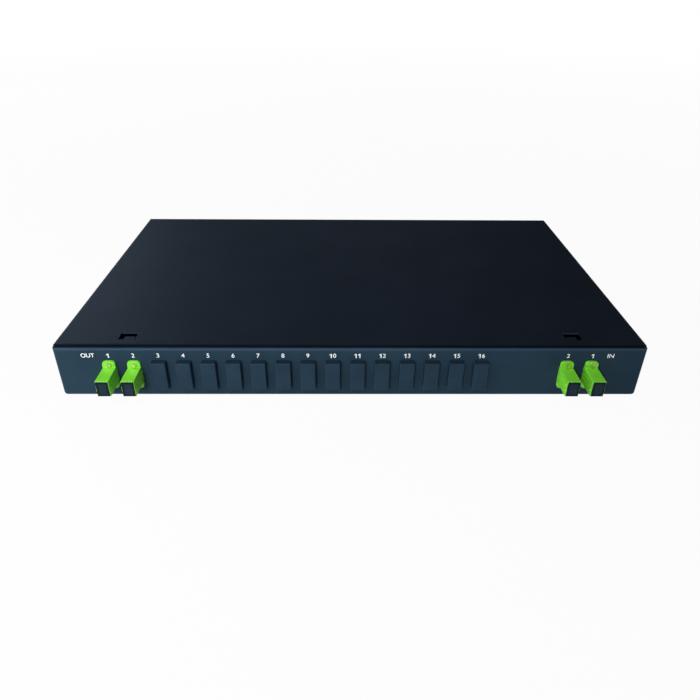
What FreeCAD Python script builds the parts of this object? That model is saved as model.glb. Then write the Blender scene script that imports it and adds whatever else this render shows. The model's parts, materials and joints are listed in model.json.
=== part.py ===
import FreeCAD, Part
import math
import os
import Sketcher
from FreeCAD import Placement, Rotation, Vector

# Rack-mount fibre splitter, one rack unit high, without its rack ears.
# Millimetres. X runs along the front, Y to the rear, Z up.
# The origin is the middle of the underside of the case.

SIZES = {
    # Folded sheet case
    "case_width": 430,
    "case_depth": 250,
    "case_height": 44,
    "sheet_thickness": 1.2,
    "bend_radius": 2.4,
    "fold_gap": 0.1,
    "cover_setback": 3.3,
    "seam_gap": 0.9,
    "skirt_height": 12,
    "panel_inset": 0.2,
    "panel_return": 12,
    "panel_corner": 2.6,
    "joggle_length": 4,
    # Snap windows in the cover and the panel's tongues in them
    "window_width": 12.4,
    "window_length": 9.2,
    "window_margin": 51.2,
    "window_back": 9.3,
    "tongue_width": 7.6,
    "tongue_gap": 0.6,
    "tongue_lip": 3.8,
    "tongue_shift": 1.5,
    "tongue_rise": 0.8,
    # Rows of ports
    "port_pitch": 18,
    "port_height": 20.3,
    "row_margin": 39.4,
    "cutout_play": 0.15,
    # Flanged adapter
    "adapter_width": 9.4,
    "adapter_height": 12.9,
    "adapter_front": 18.7,
    "adapter_rear": 13.5,
    "flange_height": 23.6,
    "flange_thickness": 2.2,
    "ear_radius": 2.6,
    "screw_spacing": 18,
    "mouth_width": 7.5,
    "mouth_height": 9.3,
    "partition": 2,
    "spine_width": 5.6,
    "spine_rise": 0.7,
    "spine_back": 1.6,
    "spine_groove": 2.2,
    "key_width": 4.4,
    "key_depth": 0.6,
    "key_length": 9,
    # Sleeve holder and split sleeve
    "sleeve_radius": 1.6,
    "sleeve_bore": 1.25,
    "sleeve_length": 11.4,
    "sleeve_slit": 0.6,
    "sleeve_play": 0.1,
    "holder_wall": 0.45,
    "holder_length": 12,
    "holder_plate": 1,
    "holder_play": 0.1,
    "latch_width": 3.5,
    "latch_thickness": 0.7,
    "latch_offset": 2.75,
    "latch_reach": 9,
    "latch_hook": 0.35,
    # Dust cap
    "cap_head": 0.6,
    "cap_rim": 0.4,
    "cap_round": 0.25,
    "cap_frame": 1.3,
    "cap_recess": 0.3,
    "cap_stem": 8,
    "cap_wall": 0.7,
    "cap_play": 0.15,
    # Blank plug
    "blank_width": 10.8,
    "blank_height": 23.6,
    "blank_proud": 4.8,
    "blank_round": 0.6,
    "blank_collar": 7,
    "blank_wall": 1.1,
    "blank_hook": 0.6,
    "blank_hook_width": 4,
    "blank_hook_length": 3,
    # Pigtail connector behind each adapter
    "plug_width": 5.2,
    "plug_height": 6.6,
    "plug_front": 5.2,
    "plug_length": 15,
    "ferrule_play": 0.01,
    "grip_play": 0.12,
    "grip_start": 1.6,
    "grip_end_wall": 3,
    "boot_length": 22,
    "boot_radius": 3,
    "boot_tip": 1.3,
    "fibre_radius": 0.45,
    "fibre_play": 0.15,
    # Splitter module, fibre guides and clips
    "fibre_bend": 40,
    "guide_back": 85,
    "guide_wall": 2,
    "guide_play": 0.3,
    "guide_rise": 4,
    "module_length": 80,
    "module_width": 36,
    "module_height": 9.5,
    "post_radius": 3,
    "post_margin": 6,
    "clip_size": 5,
    "clip_rise": 2,
    "clip_back": 66,
    # Fixings of the case
    "case_screw_radius": 1.5,
    "case_screw_length": 5.2,
    "case_head_radius": 2.8,
    "case_head_height": 0.9,
    "case_nut_radius": 2.9,
    "case_nut_height": 2,
    "side_screw_front": 60,
    "side_screw_rear": 214,
    "rear_screw_reach": 150,
    "panel_screw_back": 6.5,
    "panel_screw_low": 12,
    "panel_screw_high": 32,
    "screw_play": 0.15,
    "thread_gap": 0.05,
    # Fixings of the adapters
    "adapter_screw_radius": 1,
    "adapter_screw_length": 5.6,
    "adapter_head_radius": 1.9,
    "adapter_head_height": 1.2,
    "adapter_nut_radius": 2.3,
    "adapter_nut_height": 1.6,
    "recess_width": 0.5,
    "recess_depth": 0.5,
    "recess_margin": 0.8,
    # Rack-ear fixing in each side
    "ear_hole_radius": 2.1,
    "ear_nut_radius": 3.6,
    "ear_nut_height": 2,
    "ear_back": 36,
    "ear_low": 9,
    "ear_spacing_along": 32,
    "ear_spacing_up": 16,
}

doc = FreeCAD.newDocument("FibreSplitter")
sheet = doc.addObject("Spreadsheet::Sheet", "Size")
for row, (alias, value) in enumerate(SIZES.items(), start=1):
    sheet.set(f"A{row}", alias)
    sheet.set(f"B{row}", str(value))
    sheet.setAlias(f"B{row}", alias)
doc.recompute()

pieces = []
TOLERANCE = 0.01


def size(alias):
    return float(sheet.get(alias))


# Places that several pieces share, as expressions of the sheet
FRONT = "(-Size.case_depth / 2)"
REAR = "(Size.case_depth / 2)"
SIDE = "(Size.case_width / 2)"
COVER_UNDERSIDE = "(Size.case_height - Size.sheet_thickness)"
PANEL_TOP = f"({COVER_UNDERSIDE} - Size.seam_gap)"
PANEL_SIDE = f"({SIDE} - Size.panel_inset)"
WALL_OUTSIDE = f"({PANEL_SIDE} - Size.sheet_thickness - Size.fold_gap)"
WALL_INSIDE = f"({WALL_OUTSIDE} - Size.sheet_thickness)"
WALL_REAR = f"({REAR} - Size.sheet_thickness - Size.fold_gap)"
TRAY_FRONT = f"({FRONT} + Size.panel_return + Size.fold_gap)"
SKIRT_MIDDLE = "(Size.case_height - Size.skirt_height / 2)"
WINDOW_MIDDLE = f"({SIDE} - Size.window_margin)"
TONGUE_MIDDLE = f"({WINDOW_MIDDLE} - Size.tongue_shift)"
MIDDLE = "((Size.adapter_rear - Size.adapter_front) / 2)"
HOLDER_RADIUS = "(Size.sleeve_radius + Size.sleeve_play + Size.holder_wall)"
GRIP_END = "(Size.plug_front + Size.plug_length + Size.grip_end_wall)"
GUIDE_REACH = f"({SIDE} - Size.row_margin - Size.port_pitch - Size.fibre_bend)"
GUIDE_Y = f"({FRONT} + Size.guide_back)"
SIDE_SCREWS = (f"{FRONT} + Size.side_screw_front", f"{FRONT} + Size.side_screw_rear")
PANEL_SCREWS = ("Size.panel_screw_low", "Size.panel_screw_high")
EAR_ROWS = (f"{FRONT} + Size.ear_back", f"{FRONT} + Size.ear_back + Size.ear_spacing_along")
EAR_HEIGHTS = ("Size.ear_low", "Size.ear_low + Size.ear_spacing_up")
REAR_SCREWS = ("-Size.rear_screw_reach", "0", "Size.rear_screw_reach")

# Sixteen OUT positions, of which two are used, and two IN ports
OUT_COUNT = 16
USED_OUT = 2
IN_COUNT = 2

# Turns that point a piece's own Z along another direction
ALONG_X = Rotation(Vector(0, 1, 0), 90)
AGAINST_X = Rotation(Vector(0, 1, 0), -90)
ALONG_Y = Rotation(Vector(1, 0, 0), -90)
AGAINST_Y = Rotation(Vector(1, 0, 0), 90)
UPRIGHT = Rotation()


def out_x(number):
    return f"(-{SIDE} + Size.row_margin + {number - 1} * Size.port_pitch)"


def in_x(number):
    return f"({SIDE} - Size.row_margin - {number - 1} * Size.port_pitch)"


# Helpers for the document's objects

def place(item, x, y, z):
    for axis, value in zip("xyz", (x, y, z)):
        item.setExpression("Placement.Base." + axis, value)


def register(item, label, x="0", y="0", z="0"):
    item.Label = label
    place(item, x, y, z)
    pieces.append(item)


def new_body(label):
    return doc.addObject("PartDesign::Body", label)


def origin_feature(body, role):
    return next(item for item in body.Origin.OriginFeatures if item.Role == role)


def new_sketch(body, plane, height="0"):
    sketch = body.newObject("Sketcher::SketchObject", body.Name + "_sketch")
    sketch.AttachmentSupport = [(origin_feature(body, plane), "")]
    sketch.MapMode = "FlatFace"
    sketch.setExpression("AttachmentOffset.Base.z", height)
    return sketch


def upright_sketch(body, y):
    # A sketch parallel to the front, whose normal points to the front
    return new_sketch(body, "XZ_Plane", f"-({y})")


def bind_point(sketch, geometry, position, x, y):
    for kind, value in (("DistanceX", x), ("DistanceY", y)):
        index = sketch.addConstraint(Sketcher.Constraint(kind, -1, 1, geometry, position, 1.0))
        sketch.setExpression(f"Constraints[{index}]", value)


def outline(sketch, points):
    count = len(points)
    start = sketch.GeometryCount
    angles = [math.tau * i / count for i in range(count)]
    corners = [Vector(math.cos(angle), math.sin(angle), 0) for angle in angles]
    for i in range(count):
        sketch.addGeometry(Part.LineSegment(corners[i], corners[(i + 1) % count]), False)
    for i in range(count):
        following = start + (i + 1) % count
        sketch.addConstraint(Sketcher.Constraint("Coincident", start + i, 2, following, 1))
    for i, (x, y) in enumerate(points):
        bind_point(sketch, start + i, 1, x, y)


def rectangle(sketch, left, right, low, high):
    outline(sketch, [(left, low), (right, low), (right, high), (left, high)])


def centred_rectangle(sketch, width, height, x="0", y="0"):
    rectangle(
        sketch,
        f"{x} - ({width}) / 2",
        f"{x} + ({width}) / 2",
        f"{y} - ({height}) / 2",
        f"{y} + ({height}) / 2",
    )


def circle(sketch, x, y, radius):
    index = sketch.addGeometry(Part.Circle(Vector(0, 0, 0), Vector(0, 0, 1), 1), False)
    bind_point(sketch, index, 3, x, y)
    constraint = sketch.addConstraint(Sketcher.Constraint("Radius", index, 1.0))
    sketch.setExpression(f"Constraints[{constraint}]", radius)


def pad(body, sketch, length, reverse=False, both_ways=False):
    feature = body.newObject("PartDesign::Pad", body.Name + "_pad")
    feature.Profile = sketch
    feature.setExpression("Length", length)
    feature.Reversed = reverse
    feature.SideType = "Symmetric" if both_ways else "One side"
    doc.recompute()
    return feature


def pocket(body, sketch, length=None, reverse=False, both_ways=False):
    before = body.Shape.Volume
    feature = body.newObject("PartDesign::Pocket", body.Name + "_pocket")
    feature.Profile = sketch
    if length:
        feature.setExpression("Length", length)
    else:
        feature.Type = "ThroughAll"
    feature.Reversed = reverse
    feature.SideType = "Symmetric" if both_ways else "One side"
    doc.recompute()
    if feature.Shape.Volume > before - TOLERANCE:
        raise RuntimeError(f"{body.Name}: a pocket cuts nothing")
    return feature


def repeat_along_x(body, feature, count, spacing):
    pattern = body.newObject("PartDesign::LinearPattern", body.Name + "_pattern")
    pattern.Originals = [feature]
    pattern.Direction = (origin_feature(body, "X_Axis"), [""])
    pattern.Occurrences = count
    pattern.setExpression("Length", f"{count - 1} * {spacing}")
    body.Tip = pattern
    doc.recompute()


def round_edges(body, radius, chosen):
    base = body.Tip
    names = [f"Edge{i}" for i, edge in enumerate(base.Shape.Edges, start=1) if chosen(edge)]
    if not names:
        raise RuntimeError(f"{body.Name}: no edge to round")
    feature = body.newObject("PartDesign::Fillet", body.Name + "_fillet")
    feature.Base = (base, names)
    feature.setExpression("Radius", radius)
    doc.recompute()


def runs_along_y(edge):
    box = edge.BoundBox
    return box.YLength > TOLERANCE and box.XLength + box.ZLength < TOLERANCE


def near(first, second):
    return abs(first - second) < TOLERANCE


def primitive(kind, name, sizes, x="0", y="0", z="0", turn=UPRIGHT):
    item = doc.addObject("Part::" + kind, name)
    item.Placement = Placement(Vector(0, 0, 0), turn)
    for dimension, value in sizes.items():
        item.setExpression(dimension, value)
    place(item, x, y, z)
    return item


def block(name, width, length, height, x="0", y="0", z="0"):
    # A box centred on x and z that starts at y
    sizes = {"Length": width, "Width": length, "Height": height}
    return primitive("Box", name, sizes, f"{x} - ({width}) / 2", y, f"{z} - ({height}) / 2")


def rod(name, radius, length, x="0", y="0", z="0", turn=ALONG_Y):
    return primitive("Cylinder", name, {"Radius": radius, "Height": length}, x, y, z, turn)


def cut(name, base, tool):
    item = doc.addObject("Part::Cut", name)
    item.Base = base
    item.Tool = tool
    return item


def fuse(name, shapes):
    item = doc.addObject("Part::MultiFuse", name)
    item.Shapes = shapes
    return item


def group(label, shapes):
    item = doc.addObject("Part::Compound", label)
    item.Links = shapes
    register(item, label)


# Case

def side_holes(body, rows, heights, radius):
    sketch = new_sketch(body, "YZ_Plane")
    for y in rows:
        for z in heights:
            circle(sketch, y, z, radius)
    pocket(body, sketch, both_ways=True)


def rear_holes(body, y):
    sketch = upright_sketch(body, y)
    for x in REAR_SCREWS:
        circle(sketch, x, SKIRT_MIDDLE, "Size.case_screw_radius + Size.screw_play")
    pocket(body, sketch, "2 * Size.sheet_thickness", reverse=True)


def port_opening(sketch, x):
    width = "Size.adapter_width + 2 * Size.cutout_play"
    height = "Size.adapter_height + 2 * Size.cutout_play"
    centred_rectangle(sketch, width, height, x, "Size.port_height")
    for side in "+-":
        z = f"Size.port_height {side} Size.screw_spacing / 2"
        circle(sketch, x, z, "Size.adapter_screw_radius + Size.screw_play")


def make_front_panel():
    body = new_body("front_panel")
    face = upright_sketch(body, FRONT)
    rectangle(face, f"-{PANEL_SIDE}", PANEL_SIDE, "0", PANEL_TOP)
    pad(body, face, "Size.panel_return", reverse=True)
    round_edges(body, "Size.panel_corner", lambda edge: runs_along_y(edge) and near(edge.CenterOfMass.z, 0))
    front = -size("case_depth") / 2
    round_edges(body, "Size.bend_radius", lambda edge: near(edge.BoundBox.YMax, front))

    # The hollow behind the face
    hollow = upright_sketch(body, f"{FRONT} + Size.panel_return")
    inside = f"({PANEL_SIDE} - Size.sheet_thickness)"
    rectangle(hollow, f"-{inside}", inside, "Size.sheet_thickness", f"{PANEL_TOP} - Size.sheet_thickness")
    pocket(body, hollow, "Size.panel_return - Size.sheet_thickness", reverse=True)
    thickness = size("sheet_thickness")
    edge_x = size("case_width") / 2 - size("panel_inset") - thickness
    inner_radius = "Size.panel_corner - Size.sheet_thickness"
    round_edges(body, inner_radius, lambda edge: runs_along_y(edge)
                and near(abs(edge.CenterOfMass.x), edge_x) and near(edge.CenterOfMass.z, thickness))

    # The two rows of openings
    for x, count in ((out_x(1), OUT_COUNT), (in_x(IN_COUNT), IN_COUNT)):
        openings = upright_sketch(body, FRONT)
        port_opening(openings, x)
        first = pocket(body, openings, "2 * Size.sheet_thickness")
        repeat_along_x(body, first, count, "Size.port_pitch")

    # Tongues behind the top fold, with a raised snap on each
    snap_front = f"{FRONT} + Size.window_back + Size.tongue_gap"
    tongue_end = f"{snap_front} + Size.tongue_lip"
    strips = new_sketch(body, "XY_Plane", f"{PANEL_TOP} - Size.sheet_thickness")
    snaps = new_sketch(body, "XY_Plane", PANEL_TOP)
    for side in "-+":
        left = f"{side} {TONGUE_MIDDLE} - Size.tongue_width / 2"
        right = f"{side} {TONGUE_MIDDLE} + Size.tongue_width / 2"
        rectangle(strips, left, right, f"{FRONT} + Size.panel_return - Size.sheet_thickness", tongue_end)
        rectangle(snaps, left, right, snap_front, tongue_end)
    pad(body, strips, "Size.sheet_thickness")
    pad(body, snaps, "Size.seam_gap + Size.tongue_rise")

    rows = (f"{FRONT} + Size.panel_screw_back",)
    side_holes(body, rows, PANEL_SCREWS, "Size.case_screw_radius + Size.screw_play")
    register(body, "front_panel")


def make_chassis_base():
    body = new_body("chassis_base")
    top = f"({COVER_UNDERSIDE} - (Size.bend_radius - Size.sheet_thickness))"
    tray = upright_sketch(body, WALL_REAR)
    outline(tray, [
        (f"-{WALL_OUTSIDE}", "0"),
        (WALL_OUTSIDE, "0"),
        (WALL_OUTSIDE, top),
        (WALL_INSIDE, top),
        (WALL_INSIDE, "Size.sheet_thickness"),
        (f"-{WALL_INSIDE}", "Size.sheet_thickness"),
        (f"-{WALL_INSIDE}", top),
        (f"-{WALL_OUTSIDE}", top),
    ])
    pad(body, tray, f"{WALL_REAR} - {TRAY_FRONT}")
    thickness = size("sheet_thickness")
    round_edges(body, "Size.bend_radius", lambda edge: runs_along_y(edge) and near(edge.CenterOfMass.z, 0))
    inner_radius = "Size.bend_radius - Size.sheet_thickness"
    round_edges(body, inner_radius, lambda edge: runs_along_y(edge) and near(edge.CenterOfMass.z, thickness))

    rear_wall = upright_sketch(body, WALL_REAR)
    rectangle(rear_wall, f"-{WALL_INSIDE}", WALL_INSIDE, "0", top)
    pad(body, rear_wall, "Size.sheet_thickness")

    # The stepped lip that lies on the panel's lower fold
    lip_front = f"{FRONT} + Size.sheet_thickness + Size.fold_gap"
    lip_low = "Size.sheet_thickness + Size.fold_gap"
    lip_high = "2 * Size.sheet_thickness + Size.fold_gap"
    lip = new_sketch(body, "YZ_Plane")
    outline(lip, [
        (lip_front, lip_low),
        (TRAY_FRONT, lip_low),
        (TRAY_FRONT, "0"),
        (f"{TRAY_FRONT} + Size.joggle_length", "0"),
        (f"{TRAY_FRONT} + Size.joggle_length", "Size.sheet_thickness"),
        (f"{TRAY_FRONT} + Size.joggle_length / 2", lip_high),
        (lip_front, lip_high),
    ])
    pad(body, lip, f"2 * {WALL_INSIDE}", both_ways=True)

    # The side walls run on inside the panel's side folds
    cheeks = upright_sketch(body, f"{TRAY_FRONT} + Size.sheet_thickness")
    for side in "-+":
        ends = (f"{side} {WALL_INSIDE}", f"{side} {WALL_OUTSIDE}")
        rectangle(cheeks, *ends, "Size.panel_corner", f"{PANEL_TOP} - Size.panel_corner")
    pad(body, cheeks, "Size.panel_return")

    screw_hole = "Size.case_screw_radius + Size.screw_play"
    side_holes(body, SIDE_SCREWS, (SKIRT_MIDDLE,), screw_hole)
    side_holes(body, (f"{FRONT} + Size.panel_screw_back",), PANEL_SCREWS, screw_hole)
    side_holes(body, EAR_ROWS, EAR_HEIGHTS, "Size.ear_hole_radius")
    rear_holes(body, WALL_REAR)
    register(body, "chassis_base")


def make_top_cover():
    body = new_body("top_cover")
    top = "Size.case_height"
    skirt_low = "(Size.case_height - Size.skirt_height)"
    skirt_inside = f"({SIDE} - Size.sheet_thickness)"
    fold = upright_sketch(body, REAR)
    outline(fold, [
        (f"-{SIDE}", top),
        (f"-{SIDE}", skirt_low),
        (f"-{skirt_inside}", skirt_low),
        (f"-{skirt_inside}", COVER_UNDERSIDE),
        (skirt_inside, COVER_UNDERSIDE),
        (skirt_inside, skirt_low),
        (SIDE, skirt_low),
        (SIDE, top),
    ])
    pad(body, fold, "Size.case_depth - Size.cover_setback")
    height = size("case_height")
    underside = height - size("sheet_thickness")

    rear_skirt = upright_sketch(body, REAR)
    rectangle(rear_skirt, f"-{skirt_inside}", skirt_inside, skirt_low, COVER_UNDERSIDE)
    pad(body, rear_skirt, "Size.sheet_thickness")
    inner_radius = "Size.bend_radius - Size.sheet_thickness"
    round_edges(body, inner_radius, lambda edge: runs_along_y(edge) and near(edge.CenterOfMass.z, underside)
                and edge.Length > size("case_depth") / 2)
    rear = size("case_depth") / 2
    round_edges(body, "Size.bend_radius", lambda edge: near(edge.BoundBox.ZMin, height)
                and (runs_along_y(edge) or near(edge.BoundBox.YMin, rear)))

    # The skirts start behind the panel's side folds, and the bends run on over its corners
    front_gap = new_sketch(body, "YZ_Plane")
    rectangle(front_gap, FRONT, TRAY_FRONT, "0", f"{PANEL_TOP} + Size.seam_gap / 3")
    pocket(body, front_gap, both_ways=True)

    windows = new_sketch(body, "XY_Plane", top)
    middle_y = f"({FRONT} + Size.window_back + Size.window_length / 2)"
    for side in "-+":
        middle_x = f"{side} {WINDOW_MIDDLE}"
        centred_rectangle(windows, "Size.window_width", "Size.window_length", middle_x, middle_y)
    pocket(body, windows, "2 * Size.sheet_thickness")

    side_holes(body, SIDE_SCREWS, (SKIRT_MIDDLE,), "Size.case_screw_radius + Size.screw_play")
    rear_holes(body, REAR)
    register(body, "top_cover")


# Fasteners, each built along its own Z with its seat at zero

def cross_headed_screw(name, kind, x, y, z, turn):
    head_height = f"Size.{kind}_head_height"
    head_radius = f"Size.{kind}_head_radius"
    shank_length = f"Size.{kind}_screw_length"
    head = rod(name + "_head", head_radius, head_height, "0", "0", f"-{head_height}", UPRIGHT)
    shank = rod(name + "_shank", f"Size.{kind}_screw_radius", shank_length, "0", "0", "0", UPRIGHT)
    blank = fuse(name + "_blank", [head, shank])
    reach = f"2 * ({head_radius} - Size.recess_margin)"
    bars = []
    for width, length in (("Size.recess_width", reach), (reach, "Size.recess_width")):
        sizes = {"Length": width, "Width": length, "Height": "Size.recess_depth"}
        corner = (f"-({width}) / 2", f"-({length}) / 2", f"-{head_height}")
        bars.append(primitive("Box", name + "_bar", sizes, *corner))
    screw = cut(name, blank, fuse(name + "_recess", bars))
    screw.Placement = Placement(Vector(0, 0, 0), turn)
    place(screw, x, y, z)
    return screw


def round_nut(name, radius, height, bore, x, y, z, turn):
    disc = rod(name + "_disc", radius, height, "0", "0", "0", UPRIGHT)
    hole = rod(name + "_hole", bore, f"3 * {height}", "0", "0", f"-{height}", UPRIGHT)
    nut = cut(name, disc, hole)
    nut.Placement = Placement(Vector(0, 0, 0), turn)
    place(nut, x, y, z)
    return nut


def make_case_fixings():
    screws = []
    nuts = []

    def fix(x, y, z, nut_x, nut_y, turn):
        number = len(screws) + 1
        screws.append(cross_headed_screw(f"case_screw_{number}", "case", x, y, z, turn))
        bore = "Size.case_screw_radius + Size.thread_gap"
        sizes = ("Size.case_nut_radius", "Size.case_nut_height", bore)
        nuts.append(round_nut(f"case_nut_{number}", *sizes, nut_x, nut_y, z, turn))

    for side, turn in (("-", ALONG_X), ("", AGAINST_X)):
        for y in SIDE_SCREWS:
            fix(f"{side}{SIDE}", y, SKIRT_MIDDLE, f"{side}{WALL_INSIDE}", y, turn)
        for z in PANEL_SCREWS:
            y = f"{FRONT} + Size.panel_screw_back"
            fix(f"{side}{PANEL_SIDE}", y, z, f"{side}{WALL_INSIDE}", y, turn)
    for x in REAR_SCREWS:
        fix(x, REAR, SKIRT_MIDDLE, x, f"{WALL_REAR} - Size.sheet_thickness", AGAINST_Y)
    group("case_screws", screws)
    group("case_clinch_nuts", nuts)


def make_ear_nuts():
    nuts = []
    for side, turn in (("-", ALONG_X), ("", AGAINST_X)):
        for y in EAR_ROWS:
            for z in EAR_HEIGHTS:
                name = f"ear_nut_{len(nuts) + 1}"
                sizes = ("Size.ear_nut_radius", "Size.ear_nut_height", "Size.ear_hole_radius")
                nuts.append(round_nut(name, *sizes, f"{side}{WALL_INSIDE}", y, z, turn))
    group("ear_clinch_nuts", nuts)


def make_adapter_fixings(ports):
    screws = []
    nuts = []
    for x in ports:
        for side in "+-":
            number = len(screws) + 1
            z = f"Size.port_height {side} Size.screw_spacing / 2"
            seat = f"{FRONT} - Size.flange_thickness"
            screws.append(cross_headed_screw(f"adapter_screw_{number}", "adapter", x, seat, z, ALONG_Y))
            prism = {"Circumradius": "Size.adapter_nut_radius", "Height": "Size.adapter_nut_height"}
            back = f"{FRONT} + Size.sheet_thickness"
            blank = primitive("Prism", f"adapter_nut_{number}_blank", prism, x, back, z, ALONG_Y)
            bore = "Size.adapter_screw_radius + Size.thread_gap"
            hole = rod(f"adapter_nut_{number}_hole", bore, "3 * Size.adapter_nut_height", x, FRONT, z)
            nuts.append(cut(f"adapter_nut_{number}", blank, hole))
    group("adapter_screws", screws)
    group("adapter_nuts", nuts)


# Adapters. Each piece has the port's axis as its Y and the panel's face at y = 0.

def make_adapter_housing(name, x):
    body = new_body(name)
    front = "-Size.adapter_front"
    core = upright_sketch(body, front)
    centred_rectangle(core, "Size.adapter_width", "Size.adapter_height")
    pad(body, core, "Size.adapter_front + Size.adapter_rear", reverse=True)
    flange = upright_sketch(body, "-Size.flange_thickness")
    centred_rectangle(flange, "Size.adapter_width", "Size.flange_height")
    pad(body, flange, "Size.flange_thickness", reverse=True)
    ear_end = size("flange_height") / 2
    round_edges(body, "Size.ear_radius",
                lambda edge: runs_along_y(edge) and near(abs(edge.CenterOfMass.z), ear_end))

    # Raised spine over the key slot, in two ridges
    spine = upright_sketch(body, f"{front} + Size.spine_back")
    for side in "-+":
        ends = (f"{side} Size.spine_groove / 2", f"{side} Size.spine_width / 2")
        outside = "-Size.adapter_width / 2 - Size.spine_rise"
        rectangle(spine, outside, "-Size.mouth_width / 2 - Size.key_depth", *ends)
    pad(body, spine, "Size.adapter_front - Size.spine_back - Size.flange_thickness", reverse=True)

    # A mouth at each end, with a bored partition between them
    depth = "(Size.adapter_front + Size.adapter_rear - Size.partition) / 2"
    mouth = upright_sketch(body, front)
    centred_rectangle(mouth, "Size.mouth_width", "Size.mouth_height")
    pocket(body, mouth, depth)
    rear_mouth = upright_sketch(body, "Size.adapter_rear")
    centred_rectangle(rear_mouth, "Size.mouth_width", "Size.mouth_height")
    pocket(body, rear_mouth, depth, reverse=True)
    bore = upright_sketch(body, front)
    circle(bore, "0", "0", f"{HOLDER_RADIUS} + Size.holder_play")
    pocket(body, bore)

    key = upright_sketch(body, front)
    key_left = "-Size.mouth_width / 2 - Size.key_depth"
    rectangle(key, key_left, "0", "-Size.key_width / 2", "Size.key_width / 2")
    pocket(body, key, "Size.key_length")
    holes = upright_sketch(body, "-Size.flange_thickness")
    for side in "+-":
        circle(holes, "0", f"{side} Size.screw_spacing / 2", "Size.adapter_screw_radius + Size.screw_play")
    pocket(body, holes, "2 * Size.flange_thickness")
    register(body, name, x, FRONT, "Size.port_height")


def make_sleeve_holder(name, x):
    plate_back = f"({MIDDLE} - Size.partition / 2)"
    tube = rod(name + "_tube", HOLDER_RADIUS, "Size.holder_length", "0", f"{MIDDLE} - Size.holder_length / 2")
    width = "Size.mouth_width - 2 * Size.holder_play"
    height = "Size.mouth_height - 2 * Size.holder_play"
    plate_front = f"({plate_back} - Size.holder_plate)"
    shapes = [tube, block(name + "_plate", width, "Size.holder_plate", height, "0", plate_front)]
    for side in "+-":
        arm_z = f"{side} (Size.latch_offset + Size.latch_thickness / 2)"
        tip = f"{plate_front} - Size.latch_reach"
        arm_length = "Size.latch_reach + Size.holder_plate / 2"
        arm_sizes = ("Size.latch_width", arm_length, "Size.latch_thickness")
        shapes.append(block(name + "_arm", *arm_sizes, "0", tip, arm_z))
        hook_height = "(Size.latch_hook + Size.latch_thickness)"
        hook_z = f"{side} (Size.latch_offset + Size.latch_thickness - {hook_height} / 2)"
        hook_sizes = ("Size.latch_width", "2 * Size.latch_thickness", hook_height)
        shapes.append(block(name + "_hook", *hook_sizes, "0", tip, hook_z))
    bore_radius = "Size.sleeve_radius + Size.sleeve_play"
    bore = rod(name + "_bore", bore_radius, "2 * Size.holder_length", "0", f"{MIDDLE} - Size.holder_length")
    register(cut(name, fuse(name + "_blank", shapes), bore), name, x, FRONT, "Size.port_height")


def make_split_sleeve(name, x):
    start = f"{MIDDLE} - Size.sleeve_length / 2"
    tube = rod(name + "_tube", "Size.sleeve_radius", "Size.sleeve_length", "0", start)
    cut_start = f"{MIDDLE} - Size.sleeve_length"
    bore = rod(name + "_bore", "Size.sleeve_bore", "2 * Size.sleeve_length", "0", cut_start)
    slit_sizes = ("Size.sleeve_slit", "2 * Size.sleeve_length", "2 * Size.sleeve_radius")
    slit = block(name + "_slit", *slit_sizes, "0", cut_start, "Size.sleeve_radius")
    register(cut(name, tube, fuse(name + "_cuts", [bore, slit])), name, x, FRONT, "Size.port_height")


def make_dust_cap(name, x):
    body = new_body(name)
    head = upright_sketch(body, "-Size.adapter_front - Size.cap_head")
    head_width = "Size.adapter_width - 2 * Size.cap_rim"
    head_height = "Size.adapter_height - 2 * Size.cap_rim"
    centred_rectangle(head, head_width, head_height)
    pad(body, head, "Size.cap_head", reverse=True)
    seat = -size("adapter_front")
    round_edges(body, "Size.cap_round", lambda edge: not near(edge.BoundBox.YMin, seat))
    recess = upright_sketch(body, "-Size.adapter_front - Size.cap_head")
    centred_rectangle(recess, f"{head_width} - 2 * Size.cap_frame", f"{head_height} - 2 * Size.cap_frame")
    pocket(body, recess, "Size.cap_recess")

    stem = upright_sketch(body, "-Size.adapter_front")
    stem_width = "(Size.mouth_width - 2 * Size.cap_play)"
    stem_height = "(Size.mouth_height - 2 * Size.cap_play)"
    centred_rectangle(stem, stem_width, stem_height)
    pad(body, stem, "Size.cap_stem", reverse=True)
    rib = upright_sketch(body, "-Size.adapter_front")
    rib_left = f"-{stem_width} / 2 - Size.key_depth"
    half_rib = "(Size.key_width / 2 - Size.cap_play)"
    rectangle(rib, rib_left, f"-{stem_width} / 2 + Size.cap_wall", f"-{half_rib}", half_rib)
    pad(body, rib, "Size.cap_stem", reverse=True)
    hollow = upright_sketch(body, "-Size.adapter_front + Size.cap_stem")
    centred_rectangle(hollow, f"{stem_width} - 2 * Size.cap_wall", f"{stem_height} - 2 * Size.cap_wall")
    pocket(body, hollow, "Size.cap_stem - Size.cap_wall", reverse=True)
    register(body, name, x, FRONT, "Size.port_height")


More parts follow.
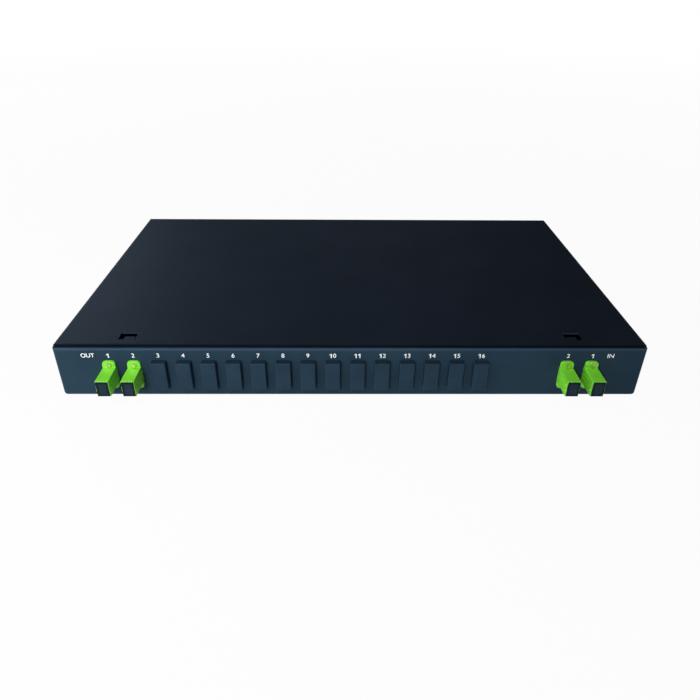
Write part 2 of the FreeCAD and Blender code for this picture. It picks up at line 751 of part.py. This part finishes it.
def make_blank_plug(name, x):
    body = new_body(name)
    plate = upright_sketch(body, "-Size.blank_proud")
    centred_rectangle(plate, "Size.blank_width", "Size.blank_height")
    pad(body, plate, "Size.blank_proud", reverse=True)
    round_edges(body, "Size.blank_round", lambda edge: not near(edge.BoundBox.YMin, 0))

    collar = upright_sketch(body, "0")
    centred_rectangle(collar, "Size.adapter_width", "Size.adapter_height")
    pad(body, collar, "Size.blank_collar", reverse=True)
    hollow = upright_sketch(body, "Size.blank_collar")
    hollow_width = "Size.adapter_width - 2 * Size.blank_wall"
    hollow_height = "Size.adapter_height - 2 * Size.blank_wall"
    centred_rectangle(hollow, hollow_width, hollow_height)
    pocket(body, hollow, "Size.blank_collar", reverse=True)

    # Snap wedges behind the panel, above and below
    hooks = new_sketch(body, "YZ_Plane")
    wedge_front = "Size.sheet_thickness + Size.cutout_play"
    for side in "+-":
        root = f"{side} (Size.adapter_height - Size.blank_wall) / 2"
        wall = f"{side} Size.adapter_height / 2"
        crest = f"{side} (Size.adapter_height / 2 + Size.blank_hook)"
        wedge_back = f"{wedge_front} + Size.blank_hook_length"
        outline(hooks, [(wedge_front, root), (wedge_front, crest), (wedge_back, wall), (wedge_back, root)])
    pad(body, hooks, "Size.blank_hook_width", both_ways=True)
    register(body, name, x, FRONT, "Size.port_height")


# Inside the case

def make_connector(name, x):
    ferrule_radius = "Size.sleeve_bore - Size.ferrule_play"
    ferrule_length = f"Size.plug_front - {MIDDLE} + Size.plug_length / 2"
    ferrule = rod(name + "_ferrule", ferrule_radius, ferrule_length, "0", MIDDLE)
    plug_sizes = ("Size.plug_width", "Size.plug_length", "Size.plug_height")
    frame = block(name + "_frame", *plug_sizes, "0", "Size.plug_front")
    register(fuse(name + "_plug", [ferrule, frame]), name + "_plug", x, FRONT, "Size.port_height")

    width = "Size.mouth_width - 2 * Size.grip_play"
    height = "Size.mouth_height - 2 * Size.grip_play"
    shell = block(name + "_shell", width, f"{GRIP_END} - Size.grip_start", height, "0", "Size.grip_start")
    room_sizes = ("Size.plug_width + 2 * Size.grip_play", f"{GRIP_END} - Size.grip_end_wall",
                  "Size.plug_height + 2 * Size.grip_play")
    room = block(name + "_room", *room_sizes)
    bore_radius = "Size.fibre_radius + Size.fibre_play"
    fibre_hole = rod(name + "_grip_hole", bore_radius, f"2 * {GRIP_END}")
    grip = cut(name + "_grip", shell, fuse(name + "_grip_cuts", [room, fibre_hole]))
    register(grip, name + "_grip", x, FRONT, "Size.port_height")

    cone_sizes = {"Radius1": "Size.boot_radius", "Radius2": "Size.boot_tip", "Height": "Size.boot_length"}
    cone = primitive("Cone", name + "_cone", cone_sizes, "0", GRIP_END, "0", ALONG_Y)
    boot_hole = rod(name + "_boot_hole", bore_radius, f"{GRIP_END} + 2 * Size.boot_length")
    register(cut(name + "_boot", cone, boot_hole), name + "_boot", x, FRONT, "Size.port_height")


def make_pigtail(label, side, bend_radius):
    # Straight to the rear, a quarter turn round the guide, then straight to the module
    half_module = size("module_length") / 2
    guide_x = size("case_width") / 2 - size("row_margin") - size("port_pitch") - size("fibre_bend")
    guide_y = -size("case_depth") / 2 + size("guide_back")
    plug_end = -size("case_depth") / 2 + size("plug_front") + size("plug_length")
    port_x = guide_x + bend_radius
    diagonal = bend_radius * math.sqrt(0.5)
    points = [
        Vector(side * port_x, plug_end, 0),
        Vector(side * port_x, guide_y, 0),
        Vector(side * (guide_x + diagonal), guide_y + diagonal, 0),
        Vector(side * guide_x, guide_y + bend_radius, 0),
        Vector(side * half_module, guide_y + bend_radius, 0),
    ]
    path = Part.Wire([
        Part.LineSegment(points[0], points[1]).toShape(),
        Part.Arc(points[1], points[2], points[3]).toShape(),
        Part.LineSegment(points[3], points[4]).toShape(),
    ])
    section = Part.Wire(Part.Circle(points[0], Vector(0, 1, 0), size("fibre_radius")).toShape())
    tube = path.makePipeShell([section], True, False)
    expected = math.pi * size("fibre_radius") ** 2 * path.Length
    if abs(tube.Volume / expected - 1) > TOLERANCE:
        raise RuntimeError(f"{label}: the tube's volume is off")
    print(f"{label}: {path.Length:.0f} mm long, bend radius {bend_radius:.0f} mm")
    fibre = doc.addObject("Part::Feature", label)
    fibre.Shape = tube
    register(fibre, label, "0", "0", "Size.port_height")


def make_splitter_module():
    outer_bend = "(Size.fibre_bend + Size.port_pitch)"
    middle_y = f"({GUIDE_Y} + (Size.fibre_bend + {outer_bend}) / 2)"
    start = f"{middle_y} - Size.module_width / 2"
    case = block("module_case", "Size.module_length", "Size.module_width", "Size.module_height", "0", "0")
    register(case, "splitter_module", "-Size.module_length / 2", start,
             "Size.port_height - Size.module_height / 2")
    posts = []
    post_height = "Size.port_height - Size.module_height / 2 - Size.sheet_thickness"
    for side in "-+":
        for end in "-+":
            x = f"{side} (Size.module_length / 2 - Size.post_margin)"
            y = f"{middle_y} {end} (Size.module_width / 2 - Size.post_margin)"
            name = f"module_post_{len(posts) + 1}"
            posts.append(rod(name, "Size.post_radius", post_height, x, y, "Size.sheet_thickness", UPRIGHT))
    group("module_posts", posts)


def make_fibre_guide(label, side):
    radius = "(Size.fibre_bend - Size.fibre_radius - Size.guide_play)"
    height = "Size.port_height + Size.guide_rise - Size.sheet_thickness"
    drum = rod(label + "_drum", radius, height, "0", "0", "0", UPRIGHT)
    inner_radius = f"{radius} - Size.guide_wall"
    hollow = rod(label + "_hollow", inner_radius, height, "0", "0", "Size.guide_wall", UPRIGHT)
    register(cut(label, drum, hollow), label, f"{side} {GUIDE_REACH}", GUIDE_Y, "Size.sheet_thickness")


def make_fibre_clips():
    clips = []
    half_slot = "(Size.fibre_radius + Size.fibre_play)"
    height = "(Size.port_height + Size.clip_rise - Size.sheet_thickness)"
    slot_height = f"(Size.clip_rise + {half_slot})"

    def clip(x, y, slot_x, slot_y):
        name = f"fibre_clip_{len(clips) + 1}"
        sizes = {"Length": "Size.clip_size", "Width": "Size.clip_size", "Height": height}
        corner = (f"{x} - Size.clip_size / 2", f"{y} - Size.clip_size / 2", "Size.sheet_thickness")
        post = primitive("Box", name + "_post", sizes, *corner)
        slot_sizes = {"Length": slot_x, "Width": slot_y, "Height": slot_height}
        slot_corner = (f"{x} - ({slot_x}) / 2", f"{y} - ({slot_y}) / 2", f"Size.port_height - {half_slot}")
        slot = primitive("Box", name + "_slot", slot_sizes, *slot_corner)
        clips.append(cut(name, post, slot))

    long_side = "2 * Size.clip_size"
    short_side = f"2 * {half_slot}"
    run_middle = f"({GUIDE_REACH} + Size.module_length / 2) / 2"
    for side in "-+":
        for extra in ("0", "Size.port_pitch"):
            port_x = f"{side} ({GUIDE_REACH} + Size.fibre_bend + {extra})"
            clip(port_x, f"({FRONT} + Size.clip_back)", short_side, long_side)
            clip(f"{side} {run_middle}", f"({GUIDE_Y} + Size.fibre_bend + {extra})", long_side, short_side)
    group("fibre_clips", clips)


make_front_panel()
make_chassis_base()
make_top_cover()
make_case_fixings()
make_ear_nuts()

used_ports = {f"out_{number}": out_x(number) for number in range(1, USED_OUT + 1)}
used_ports.update({f"in_{number}": in_x(number) for number in range(1, IN_COUNT + 1)})
make_adapter_fixings(used_ports.values())
for port, port_x in used_ports.items():
    make_adapter_housing(f"{port}_adapter_housing", port_x)
    make_sleeve_holder(f"{port}_sleeve_holder", port_x)
    make_split_sleeve(f"{port}_split_sleeve", port_x)
    make_dust_cap(f"{port}_dust_cap", port_x)
    make_connector(f"{port}_connector", port_x)
    side_sign = -1 if port.startswith("out") else 1
    outermost = port.endswith("_1")
    make_pigtail(f"{port}_pigtail", side_sign, size("fibre_bend") + size("port_pitch") * outermost)
for number in range(USED_OUT + 1, OUT_COUNT + 1):
    make_blank_plug(f"blank_plug_{number:02d}", out_x(number))

make_splitter_module()
make_fibre_guide("fibre_guide_left", "-")
make_fibre_guide("fibre_guide_right", "+")
make_fibre_clips()

doc.recompute()
for item in doc.Objects:
    if "Invalid" in item.State or "Error" in item.State:
        raise RuntimeError(f"{item.Name} failed: {item.State}")
for piece in pieces:
    if piece.Shape.isNull() or not piece.Shape.isValid():
        raise RuntimeError(f"{piece.Label} has no valid shape")

os.makedirs("parts", exist_ok=True)
for piece in pieces:
    piece.Shape.exportStep(f"parts/{piece.Label}.step")
print(f"{len(pieces)} pieces written")
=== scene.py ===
import json
import math

import bpy
from mathutils import Matrix, Vector


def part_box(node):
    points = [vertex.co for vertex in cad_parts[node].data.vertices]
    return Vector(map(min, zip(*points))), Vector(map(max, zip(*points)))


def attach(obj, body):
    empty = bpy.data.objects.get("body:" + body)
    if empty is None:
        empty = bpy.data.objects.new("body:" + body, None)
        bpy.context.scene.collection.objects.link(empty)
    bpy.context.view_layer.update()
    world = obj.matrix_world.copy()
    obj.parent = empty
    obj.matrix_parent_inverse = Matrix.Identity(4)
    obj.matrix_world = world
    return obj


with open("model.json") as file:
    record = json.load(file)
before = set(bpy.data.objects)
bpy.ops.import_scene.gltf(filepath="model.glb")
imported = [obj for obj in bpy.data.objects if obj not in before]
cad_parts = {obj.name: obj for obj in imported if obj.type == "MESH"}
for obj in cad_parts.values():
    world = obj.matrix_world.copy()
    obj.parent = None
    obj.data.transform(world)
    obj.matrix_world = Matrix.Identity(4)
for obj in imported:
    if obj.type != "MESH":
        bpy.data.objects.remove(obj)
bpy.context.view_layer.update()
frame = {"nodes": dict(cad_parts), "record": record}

# Rack-mount fibre splitter: finishes, printed numbers, studio and camera.
# Metres, in the frame of the solids: X along the front, Y to the rear, Z up.

PANEL_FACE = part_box("front_panel")[0][1]
CAP_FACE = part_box("out_1_dust_cap")[0][1]
COVER_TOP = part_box("top_cover")[1][2]

# Printing on the panel
LETTER_HEIGHT = 0.0036
DIGIT_STEP = 0.0027
PRINT_FILM = 0.00003
PRINT_SPREAD = 0.00004
PRINT_LEVEL = 0.0359
FONT_CAP_SHARE = 0.729
OUT_WORD = (-0.1902, 0.0098)
IN_WORD = (0.1886, 0.0047)
OUT_COUNT = 16
OUT_IN_USE = 2

# The figure 1, a stem with a sloping flag: its corners in letter heights
STEM_LEFT = -0.02
STEM_RIGHT = 0.18
HEAD_WIDTH = 0.16
FLAG_TIP = -0.28
ONE_FOOT = ((STEM_LEFT, -0.5), (STEM_RIGHT, -0.5))
ONE_HEAD = ((STEM_RIGHT, 0.5), (STEM_RIGHT - HEAD_WIDTH, 0.5))
ONE_FLAG = ((FLAG_TIP, 0.3), (FLAG_TIP, 0.12), (STEM_LEFT, 0.24))

# Edges broken on the solids that show, by the end of the node's name
MERGE_DISTANCE = 0.000002
SHARP_ANGLE = math.radians(40)
EDGE_STEPS = 2
EDGE_WIDTHS = {
    "front_panel": 0.0002,
    "top_cover": 0.00025,
    "chassis_base": 0.0002,
    "_adapter_housing": 0.0003,
    "_dust_cap": 0.00015,
    "adapter_screws": 0.00015,
    "case_screws": 0.00015,
}

# How far up a face looks: from a slope to level, and from the flat front to its fold
# SLOPE_TO_LEVEL places the painted shade on the black plastic's upward faces
SLOPE_TO_LEVEL = (0.8, 0.97)
# FLAT_TO_FOLD places the coat's painted highlight on the upper fold
FLAT_TO_FOLD = (0.25, 0.6)
# How far a face looks to the rear, from the middle of the front's fold to its end
# Faces turned away from the front get the coat's painted shade
FRONT_TO_FOLDED = (-0.6, -0.25)
# The cover's front edge, by height and by depth, darkened as painted shade for the seam gap
COVER_EDGE = (COVER_TOP - 0.0013, COVER_TOP - 0.0012)
COVER_LIP = (PANEL_FACE + 0.0045, PANEL_FACE + 0.005)
# The caps' faces, a little behind their rims; the rims keep a darker tone as painted shade of the recess
CAP_RIM = (CAP_FACE + 0.00005, CAP_FACE + 0.0002)

# Grain of the finishes: size of the clouds and of the fine texture, its depth and how strongly it shows
MOULD_CLOUD = 0.012
MOULD_GRAIN = 0.0006
MOULD_DEPTH = 0.00004
MOULD_BUMP = 0.12
PLATE_CLOUD = 0.0012
PLATE_GRAIN = 0.0004
PLATE_DEPTH = 0.00002
PLATE_BUMP = 0.15
COAT_CLOUD = 0.05
COAT_GRAIN = 0.0007
COAT_DEPTH = 0.0001
COAT_BUMP = 0.35
INK_GRAIN = 0.0003
INK_BUMP = 0.2
SMOOTH_DETAIL = 2
COAT_DETAIL = 3
PLATE_DETAIL = 4
NOISE_MIDDLE = (0.35, 0.65)
NOISE_SPREAD = (0.3, 0.7)
SATIN_SPREAD = (0.05, 0.06)
PLATED_SPREAD = (0.08, 0.1)
PLAIN_GLOSS = 0.5
FROSTED_GLOSS = 0.08
COAT_GLOSS = 0.05

# Camera, from the photograph's vanishing lines
CAMERA_PLACE = (-0.0083, -0.475, 0.2773)
CAMERA_TILT = math.radians(29.13)
CAMERA_YAW = math.radians(0.77)
CAMERA_ROLL = math.radians(0.5)
PICTURE_SIZE = 700
FOCAL_PIXELS = 585
AXIS_PIXEL = (347.1, 300)
SENSOR_WIDTH = 36
NEAREST_SEEN = 0.01

# Studio: the floor's white share grows with the distance
FLOOR_SIZE = 400
FLOOR_TONE = (0.5, 0.5, 0.5, 1)
FLOOR_ROUGHNESS = 0.9
FLOOR_FADE = (0.3, 2.5)
FLOOR_WHITE = (0.95, 1.0)
WORLD_COLOUR = (0.8, 0.9, 1.0, 1)
WORLD_STRENGTH = 0.06
MIRRORED_SHARE = 0.05
WHITE = (1, 1, 1)
SKY = (0.6, 0.8, 1.0)
PALE_SKY = (0.65, 0.83, 1.0)


def srgb(red, green, blue):
    def linear(value):
        value = value / 255
        return value / 12.92 if value <= 0.04045 else ((value + 0.055) / 1.055) ** 2.4
    return (linear(red), linear(green), linear(blue), 1.0)


# Shader building

def new_material(name):
    material = bpy.data.materials.new(name)
    material.use_nodes = True
    tree = material.node_tree
    return material, tree, tree.nodes["Principled BSDF"]


def object_noise(tree, name, grain, detail=SMOOTH_DETAIL):
    place = tree.nodes.new("ShaderNodeTexCoord")
    noise = tree.nodes.new("ShaderNodeTexNoise")
    noise.name = name
    noise.inputs["Scale"].default_value = 1 / grain
    noise.inputs["Detail"].default_value = detail
    tree.links.new(place.outputs["Object"], noise.inputs["Vector"])
    return noise.outputs["Fac"]


def map_range(tree, value, starts, ends=(0, 1)):
    spread = tree.nodes.new("ShaderNodeMapRange")
    for socket, number in zip(("From Min", "From Max", "To Min", "To Max"), starts + ends):
        spread.inputs[socket].default_value = number
    tree.links.new(value, spread.inputs["Value"])
    return spread.outputs["Result"]


def combine(tree, operation, first, second):
    result = tree.nodes.new("ShaderNodeMath")
    result.operation = operation
    tree.links.new(first, result.inputs[0])
    tree.links.new(second, result.inputs[1])
    return result.outputs["Value"]


def mix_surface(tree, share, first, second, output):
    mix = tree.nodes.new("ShaderNodeMixShader")
    tree.links.new(share, mix.inputs["Fac"])
    tree.links.new(first, mix.inputs[1])
    tree.links.new(second, mix.inputs[2])
    tree.links.new(mix.outputs["Shader"], tree.nodes[output].inputs["Surface"])


def coordinate(tree, kind, axis):
    place = tree.nodes.new("ShaderNodeTexCoord")
    parts = tree.nodes.new("ShaderNodeSeparateXYZ")
    tree.links.new(place.outputs[kind], parts.inputs["Vector"])
    return parts.outputs[axis]


def facing(tree, axis, limits):
    # A share by how far a face looks along an axis
    return map_range(tree, coordinate(tree, "Normal", axis), limits)


def lying(tree, axis, limits, shares=(0, 1)):
    # A share by the place along an axis
    return map_range(tree, coordinate(tree, "Object", axis), limits, shares)


def tone(tree, cloud, dark, light):
    ramp = tree.nodes.new("ShaderNodeValToRGB")
    for element, position, colour in zip(ramp.color_ramp.elements, NOISE_MIDDLE, (dark, light)):
        element.position = position
        element.color = colour
    tree.links.new(cloud, ramp.inputs["Fac"])
    return ramp.outputs["Color"]


def overlay(tree, share, tones):
    # Mixes a second pair of tones over the base colour
    base = tree.nodes["Principled BSDF"].inputs["Base Color"]
    mix = tree.nodes.new("ShaderNodeMix")
    mix.data_type = "RGBA"
    under, over = [socket for socket in mix.inputs if socket.type == "RGBA"]
    tree.links.new(share, mix.inputs["Factor"])
    tree.links.new(base.links[0].from_socket, under)
    tree.links.new(tone(tree, tree.nodes["cloud"].outputs["Fac"], *tones), over)
    tree.links.new(next(socket for socket in mix.outputs if socket.type == "RGBA"), base)


def vary_roughness(tree, shader, fine, roughness, spread):
    limits = (roughness - spread[0], roughness + spread[1])
    tree.links.new(map_range(tree, fine, NOISE_SPREAD, limits), shader.inputs["Roughness"])


def roughen(tree, shader, fine, strength, depth):
    bump = tree.nodes.new("ShaderNodeBump")
    bump.inputs["Strength"].default_value = strength
    bump.inputs["Distance"].default_value = depth
    tree.links.new(fine, bump.inputs["Height"])
    tree.links.new(bump.outputs["Normal"], shader.inputs["Normal"])


# Finishes, some with painted shade and painted highlights

def moulded(name, dark, light, roughness, gloss=PLAIN_GLOSS, grain=MOULD_GRAIN, bump=MOULD_BUMP):
    material, tree, shader = new_material(name)
    shader.inputs["Specular IOR Level"].default_value = gloss
    cloud = object_noise(tree, "cloud", MOULD_CLOUD)
    tree.links.new(tone(tree, cloud, dark, light), shader.inputs["Base Color"])
    fine = object_noise(tree, "grain", grain)
    vary_roughness(tree, shader, fine, roughness, SATIN_SPREAD)
    roughen(tree, shader, fine, bump, MOULD_DEPTH)
    return material


def plated(name, dark, light, roughness):
    material, tree, shader = new_material(name)
    shader.inputs["Metallic"].default_value = 1.0
    cloud = object_noise(tree, "cloud", PLATE_CLOUD, PLATE_DETAIL)
    tree.links.new(tone(tree, cloud, dark, light), shader.inputs["Base Color"])
    fine = object_noise(tree, "grain", PLATE_GRAIN)
    vary_roughness(tree, shader, fine, roughness, PLATED_SPREAD)
    roughen(tree, shader, fine, PLATE_BUMP, PLATE_DEPTH)
    return material


def powder_coat(name, tones, fold_highlight_tones, painted_shade_tones, roughness):
    material, tree, shader = new_material(name)
    shader.inputs["Specular IOR Level"].default_value = COAT_GLOSS
    cloud = object_noise(tree, "cloud", COAT_CLOUD, COAT_DETAIL)
    tree.links.new(tone(tree, cloud, *tones), shader.inputs["Base Color"])
    fine = object_noise(tree, "grain", COAT_GRAIN, COAT_DETAIL)
    vary_roughness(tree, shader, fine, roughness, SATIN_SPREAD)
    roughen(tree, shader, fine, COAT_BUMP, COAT_DEPTH)

    # Painted highlight on the upper fold; painted shade on faces turned from the front and the cover's edge
    overlay(tree, facing(tree, "Z", FLAT_TO_FOLD), fold_highlight_tones)
    edge = combine(tree, "MINIMUM", lying(tree, "Z", COVER_EDGE), lying(tree, "Y", COVER_LIP, (1, 0)))
    overlay(tree, combine(tree, "MAXIMUM", facing(tree, "Y", FRONT_TO_FOLDED), edge), painted_shade_tones)
    return material


def darker_on_top(material, tones):
    # Painted shade: faces that look up get a darker tone, as if less light fell on them
    tree = material.node_tree
    overlay(tree, facing(tree, "Z", SLOPE_TO_LEVEL), tones)
    return material


def frosted_face(material, tones):
    # Painted shade: the rim stays darker than the face behind it, standing for the recess's shadow
    tree = material.node_tree
    overlay(tree, lying(tree, "Y", CAP_RIM), tones)
    return material


COAT = (srgb(29, 47, 60), srgb(32, 51, 64))
# Painted highlight: a paler copy of the coat on the fold, where the bend would catch the light
FOLD_PAINTED_HIGHLIGHT = (srgb(36, 57, 72), srgb(39, 61, 76))
# Painted shade: a darker copy of the coat on faces turned from the front and on the cover's front edge
COAT_PAINTED_SHADE = (srgb(13, 19, 28), srgb(16, 22, 32))
BLACK = (srgb(26, 44, 58), srgb(29, 48, 62))
# Painted shade: a darker copy of the black plastic for its upward faces
BLACK_TOP_PAINTED_SHADE = (srgb(20, 32, 43), srgb(23, 36, 48))
# Painted shade: the caps' rims keep the darker tone, their recessed faces the paler one
CAP_BLACK = (srgb(12, 20, 27), srgb(15, 23, 31))
CAP_FACE_LIT_TONE = (srgb(23, 36, 47), srgb(27, 41, 52))
FINISHES = {
    "blue_black_powder_coat": powder_coat("blue_black_powder_coat", COAT, FOLD_PAINTED_HIGHLIGHT, COAT_PAINTED_SHADE, 0.55),
    "green_plastic": moulded("green_plastic", srgb(101, 184, 40), srgb(110, 194, 48), 0.36),
    "black_plastic": darker_on_top(moulded("black_plastic", *BLACK, 0.5, FROSTED_GLOSS), BLACK_TOP_PAINTED_SHADE),
    "grey_plastic": moulded("grey_plastic", srgb(134, 138, 142), srgb(148, 151, 154), 0.5),
    "white_plastic": moulded("white_plastic", srgb(222, 221, 214), srgb(233, 232, 226), 0.45),
    "zirconia": moulded("zirconia", srgb(238, 236, 228), srgb(246, 245, 240), 0.2),
    "green_rubber": moulded("green_rubber", srgb(48, 118, 34), srgb(58, 132, 42), 0.6),
    "yellow_jacket": moulded("yellow_jacket", srgb(226, 188, 40), srgb(238, 202, 58), 0.45),
    "module_black": moulded("module_black", srgb(20, 20, 22), srgb(26, 26, 28), 0.5),
    "black_steel": plated("black_steel", srgb(34, 37, 40), srgb(48, 51, 55), 0.4),
    "yellow_zinc": plated("yellow_zinc", srgb(190, 208, 116), srgb(220, 232, 156), 0.36),
    "bright_zinc": plated("bright_zinc", srgb(166, 170, 174), srgb(190, 194, 198), 0.36),
}
cap_black = frosted_face(moulded("cap_black", *CAP_BLACK, 0.5, FROSTED_GLOSS), CAP_FACE_LIT_TONE)
WHITE_INK = (srgb(214, 219, 222), srgb(226, 230, 232))
white_ink = moulded("white_ink", *WHITE_INK, 0.6, grain=INK_GRAIN, bump=INK_BUMP)

for subpart in frame["record"]["subparts"]:
    node = subpart["node"]
    finish = cap_black if node.endswith("_dust_cap") else FINISHES[subpart["material_slot"]]
    for slot in frame["nodes"][node].material_slots:
        slot.material = finish


# Softened edges on the solids that show

def soften(solid, width):
    weld = solid.modifiers.new("joined_faces", "WELD")
    weld.merge_threshold = MERGE_DISTANCE
    bevel = solid.modifiers.new("soft_edges", "BEVEL")
    bevel.width = width
    bevel.segments = EDGE_STEPS
    bevel.limit_method = "ANGLE"
    bevel.angle_limit = SHARP_ANGLE
    shading = solid.modifiers.new("even_shading", "WEIGHTED_NORMAL")
    shading.keep_sharp = True


for node, solid in frame["nodes"].items():
    for ending, width in EDGE_WIDTHS.items():
        if node.endswith(ending):
            soften(solid, width)


# Printed numbers and words

def deselect_all():
    bpy.ops.object.select_all(action="DESELECT")


def place_print(label, x):
    label.location = (x, PANEL_FACE - PRINT_FILM, PRINT_LEVEL)
    label.rotation_euler = (math.pi / 2, 0, 0)
    deselect_all()
    label.select_set(True)
    bpy.context.view_layer.objects.active = label
    bpy.ops.object.convert(target="MESH")
    bpy.ops.object.transform_apply(location=True, rotation=True, scale=True)
    return bpy.context.object


def print_letters(words, x, width=None):
    bpy.ops.object.text_add()
    label = bpy.context.object
    label.data.body = words
    label.data.size = LETTER_HEIGHT / FONT_CAP_SHARE
    label.data.align_x = "CENTER"
    label.data.align_y = "CENTER"
    label.data.offset = PRINT_SPREAD
    label.data.extrude = PRINT_FILM
    if width:
        bpy.context.view_layer.update()
        label.scale.x = width / label.dimensions.x
    return place_print(label, x)


def print_one(x):
    outline = bpy.data.curves.new("figure_one", "CURVE")
    outline.dimensions = "2D"
    outline.fill_mode = "BOTH"
    outline.extrude = PRINT_FILM
    corners = ONE_FOOT + ONE_HEAD + ONE_FLAG
    line = outline.splines.new("POLY")
    line.points.add(len(corners) - 1)
    for point, (along, up) in zip(line.points, corners):
        point.co = (along * LETTER_HEIGHT, up * LETTER_HEIGHT, 0, 1)
    line.use_cyclic_u = True
    figure = bpy.data.objects.new("figure_one", outline)
    bpy.context.scene.collection.objects.link(figure)
    return place_print(figure, x)


def print_number(number, x):
    figures = str(number)
    first = x - DIGIT_STEP * (len(figures) - 1) / 2
    places = [(figure, first + DIGIT_STEP * i) for i, figure in enumerate(figures)]
    return [print_one(place) if figure == "1" else print_letters(figure, place) for figure, place in places]


def join_print(name, made):
    deselect_all()
    for label in made:
        label.select_set(True)
    bpy.context.view_layer.objects.active = made[0]
    bpy.ops.object.join()
    row = bpy.context.object
    row.name = name
    row.data.materials.clear()
    row.data.materials.append(white_ink)
    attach(row, "case")


def middle_x(node):
    low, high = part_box(node)
    return (low[0] + high[0]) / 2


def print_rows():
    out_print = [print_letters("OUT", *OUT_WORD)]
    for number in range(1, OUT_COUNT + 1):
        filler = f"out_{number}_dust_cap" if number <= OUT_IN_USE else f"blank_plug_{number:02d}"
        out_print += print_number(number, middle_x(filler))
    join_print("out_row_print", out_print)
    in_print = [print_letters("IN", *IN_WORD)]
    for number in (2, 1):
        in_print += print_number(number, middle_x(f"in_{number}_dust_cap"))
    join_print("in_row_print", in_print)


# Studio

def make_floor():
    deselect_all()
    bpy.ops.mesh.primitive_plane_add(size=FLOOR_SIZE, location=(0, 0, 0))
    floor = bpy.context.object
    floor.name = "studio_floor"
    material, tree, shader = new_material("studio_white")
    shader.inputs["Base Color"].default_value = FLOOR_TONE
    shader.inputs["Roughness"].default_value = FLOOR_ROUGHNESS
    shader.inputs["Specular IOR Level"].default_value = 0
    glow = tree.nodes.new("ShaderNodeEmission")

    # White for the eye and in reflections, more fully so far from the object
    place = tree.nodes.new("ShaderNodeTexCoord")
    distance = tree.nodes.new("ShaderNodeVectorMath")
    distance.operation = "LENGTH"
    tree.links.new(place.outputs["Object"], distance.inputs[0])
    share = map_range(tree, distance.outputs["Value"], FLOOR_FADE, FLOOR_WHITE)
    rays = tree.nodes.new("ShaderNodeLightPath")
    mirrored = combine(tree, "MAXIMUM", rays.outputs["Is Glossy Ray"], rays.outputs["Is Transmission Ray"])
    seen = combine(tree, "MAXIMUM", rays.outputs["Is Camera Ray"], mirrored)
    white = combine(tree, "MULTIPLY", seen, share)
    mix_surface(tree, white, shader.outputs["BSDF"], glow.outputs["Emission"], "Material Output")
    floor.data.materials.append(material)


def make_world():
    # Dim light all round, white where the camera sees past the floor
    world = bpy.data.worlds.new("studio")
    bpy.context.scene.world = world
    world.use_nodes = True
    tree = world.node_tree
    dim = tree.nodes["Background"]
    dim.inputs["Color"].default_value = WORLD_COLOUR
    dim.inputs["Strength"].default_value = WORLD_STRENGTH
    white = tree.nodes.new("ShaderNodeBackground")
    white.inputs["Color"].default_value = (*WHITE, 1)
    rays = tree.nodes.new("ShaderNodeLightPath")
    mirrored = combine(tree, "MAXIMUM", rays.outputs["Is Glossy Ray"], rays.outputs["Is Transmission Ray"])
    share = map_range(tree, mirrored, (0, 1), (0, MIRRORED_SHARE))
    seen = combine(tree, "MAXIMUM", rays.outputs["Is Camera Ray"], share)
    mix_surface(tree, seen, dim.outputs["Background"], white.outputs["Background"], "World Output")


def soft_light(name, place, aim, size, power, colour=WHITE):
    lamp = bpy.data.lights.new(name, "AREA")
    lamp.color = colour
    lamp.shape = "RECTANGLE"
    lamp.size = size[0]
    lamp.size_y = size[1]
    lamp.energy = power
    holder = bpy.data.objects.new(name, lamp)
    holder.location = place
    holder.rotation_euler = (Vector(aim) - Vector(place)).to_track_quat("-Z", "Y").to_euler()
    bpy.context.scene.collection.objects.link(holder)


def make_lights():
    soft_light("key_light", (-0.3, -1.2, 0.5), (-1.5, -0.1, 0), (0.4, 0.25), 16)
    soft_light("side_light", (-1.2, -0.35, 0.3), (0, -0.1, 0.03), (0.5, 0.3), 10)
    soft_light("top_light", (0.35, -0.35, 1.15), (0.05, -0.05, 0), (0.6, 0.6), 3)
    soft_light("front_light", (-0.4, -1.6, 0.5), (-0.2, -0.1, 0.02), (1.2, 0.5), 3)
    soft_light("left_light", (-1.0, 1.15, 0.68), (-0.05, 0, 0.04), (0.6, 0.3), 8, SKY)
    soft_light("edge_light", (-0.3, -0.42, 0.55), (-0.3, -0.12, 0.04), (0.4, 0.06), 2.4)
    soft_light("back_light", (0, 1.5, 0.65), (0, 0.1, 0.04), (1.0, 0.3), 1.2, PALE_SKY)
    soft_light("right_light", (1.6, 0.6, 0.25), (0.2, 0.1, 0.02), (0.8, 0.3), 3)


def make_camera():
    lens = bpy.data.cameras.new("photo_camera")
    lens.sensor_fit = "HORIZONTAL"
    lens.sensor_width = SENSOR_WIDTH
    lens.lens = FOCAL_PIXELS / PICTURE_SIZE * SENSOR_WIDTH
    lens.shift_x = (PICTURE_SIZE / 2 - AXIS_PIXEL[0]) / PICTURE_SIZE
    lens.shift_y = (AXIS_PIXEL[1] - PICTURE_SIZE / 2) / PICTURE_SIZE
    lens.clip_start = NEAREST_SEEN
    camera = bpy.data.objects.new("photo_camera", lens)
    turn = Matrix.Rotation(-CAMERA_YAW, 4, "Z") @ Matrix.Rotation(math.pi / 2 - CAMERA_TILT, 4, "X")
    roll = Matrix.Rotation(CAMERA_ROLL, 4, "Z")
    camera.matrix_world = Matrix.Translation(CAMERA_PLACE) @ turn @ roll
    bpy.context.scene.collection.objects.link(camera)
    bpy.context.scene.camera = camera


print_rows()
make_floor()
make_lights()
make_world()
make_camera()

bpy.context.scene.view_settings.view_transform = "Standard"
